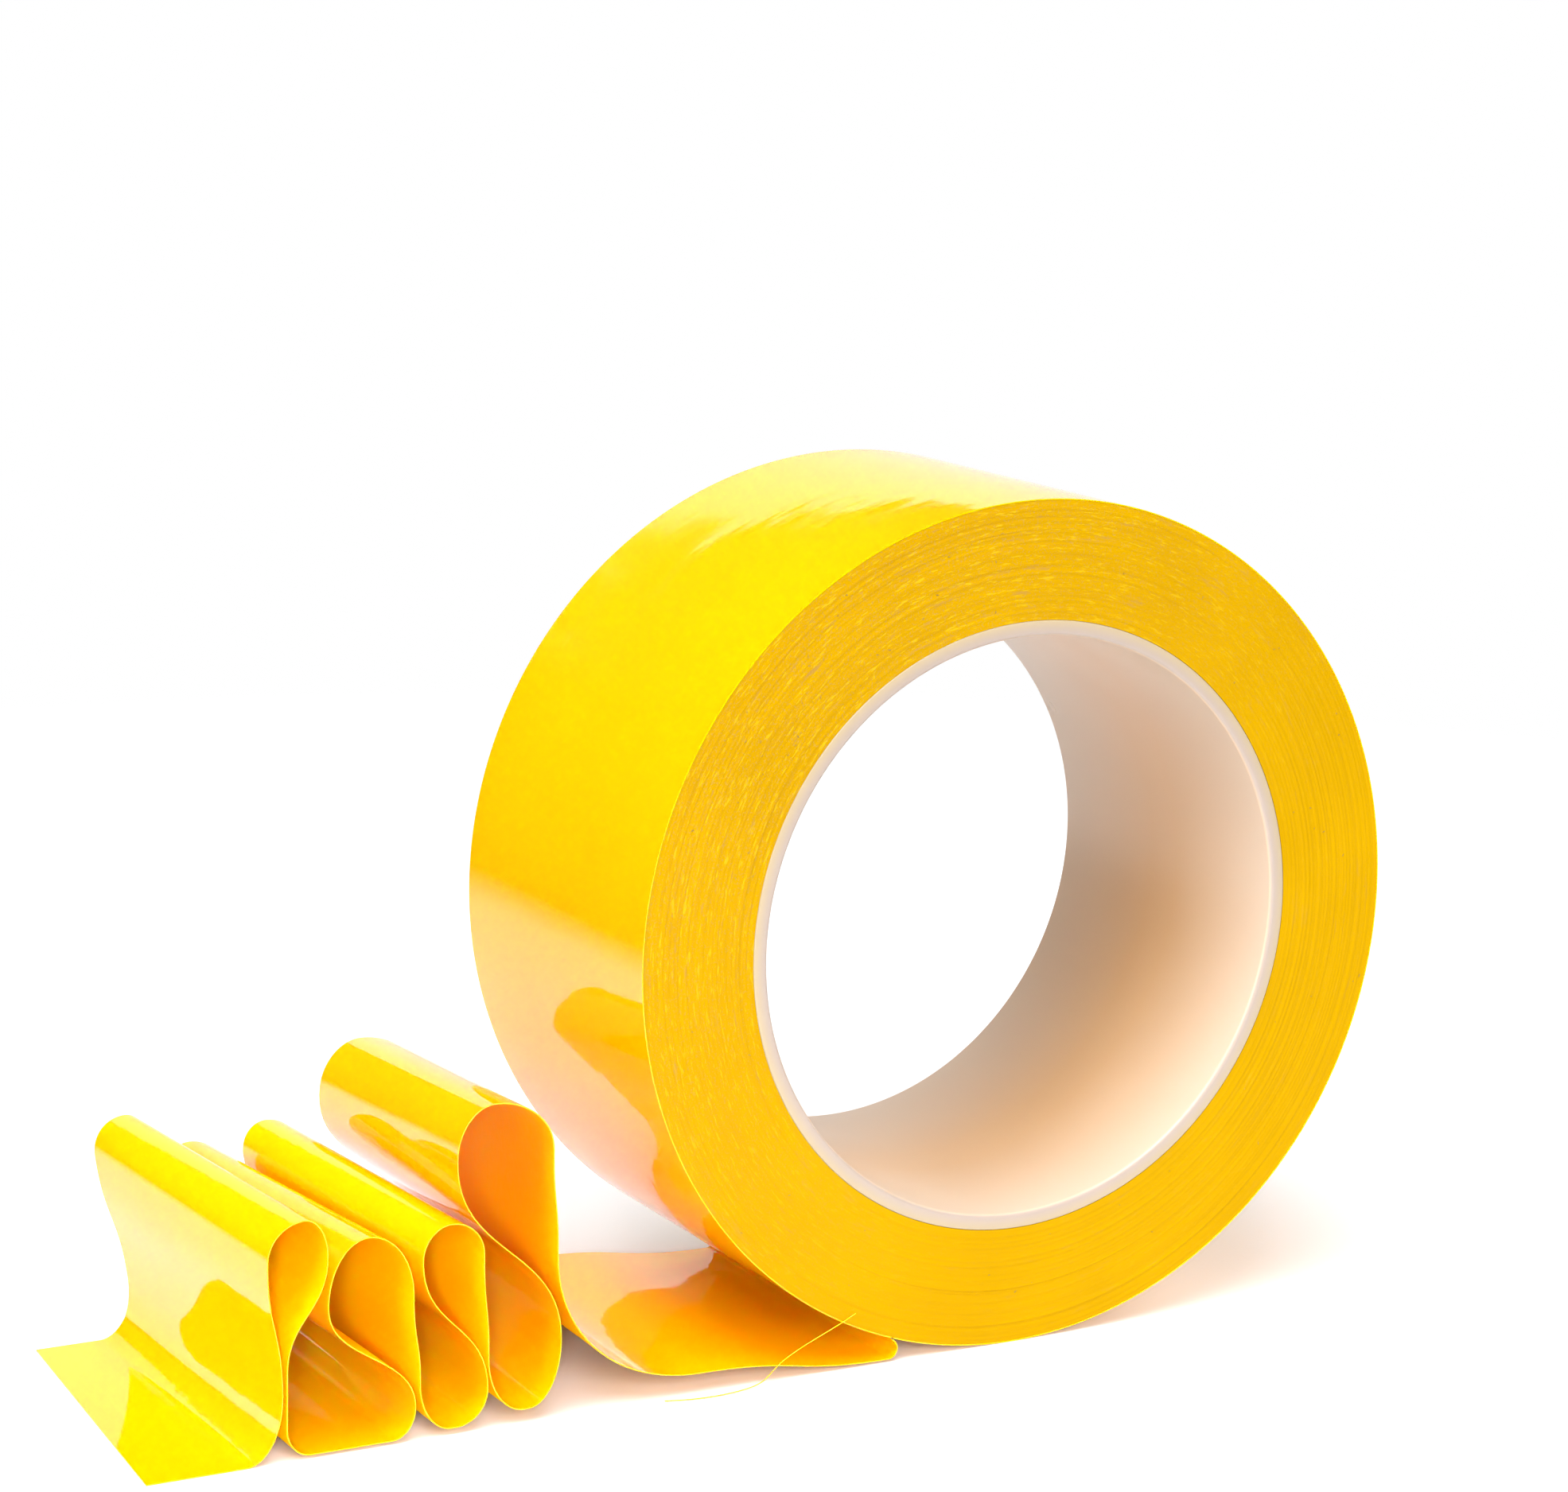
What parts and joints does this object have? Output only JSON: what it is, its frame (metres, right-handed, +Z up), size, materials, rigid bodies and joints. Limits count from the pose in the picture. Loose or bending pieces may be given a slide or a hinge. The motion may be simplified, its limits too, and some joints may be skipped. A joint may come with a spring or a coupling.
{
  "type": "adhesive film tape roll",
  "caption": "Roll of glossy adhesive film tape on a plastic core, standing on its rim, with a loose end peeled back under it, folded into standing loops and ended flat.",
  "frame": {"origin": "on the floor under the roll's axis, at the middle of the tape's width, on the lowest facet of the roll", "axes": "+X to the right along the line that the loose tape comes in from, +Y along the roll's axis away from the near side, +Z up; the loose tape runs out towards -X"},
  "size_m": [0.1754, 0.05, 0.1113],
  "materials": {
    "tape_film": "glossy smooth film",
    "tape_pack": "satin, fine concentric edges of the turns",
    "core_plastic": "smooth milky plastic"
  },
  "bodies": {
    "lead": {"peel_fold": "tape_film", "lead_strip": "tape_film"},
    "roll": {"core": "core_plastic", "wound_turns": "tape_pack", "outer_turn": "tape_film"},
    "loose_end": {"loop_1": "tape_film", "loop_2": "tape_film", "loop_3": "tape_film", "loop_4": "tape_film", "tail_end": "tape_film"}
  },
  "joints": [
    {"name": "roll_spin", "type": "hinge", "parent": "lead", "child": "roll", "pos_m": [0, 0, 0.05563], "axis": [0, -1, 0], "range_deg": [0, 360]},
    {"name": "tape_draw", "type": "slide", "parent": "lead", "child": "loose_end", "axis": [-1, 0, 0], "range_m": [0, 0.35]}
  ],
  "couplings": [
    {"joint": "tape_draw", "follows": "roll_spin", "m_per_rad": 0.05558}
  ]
}
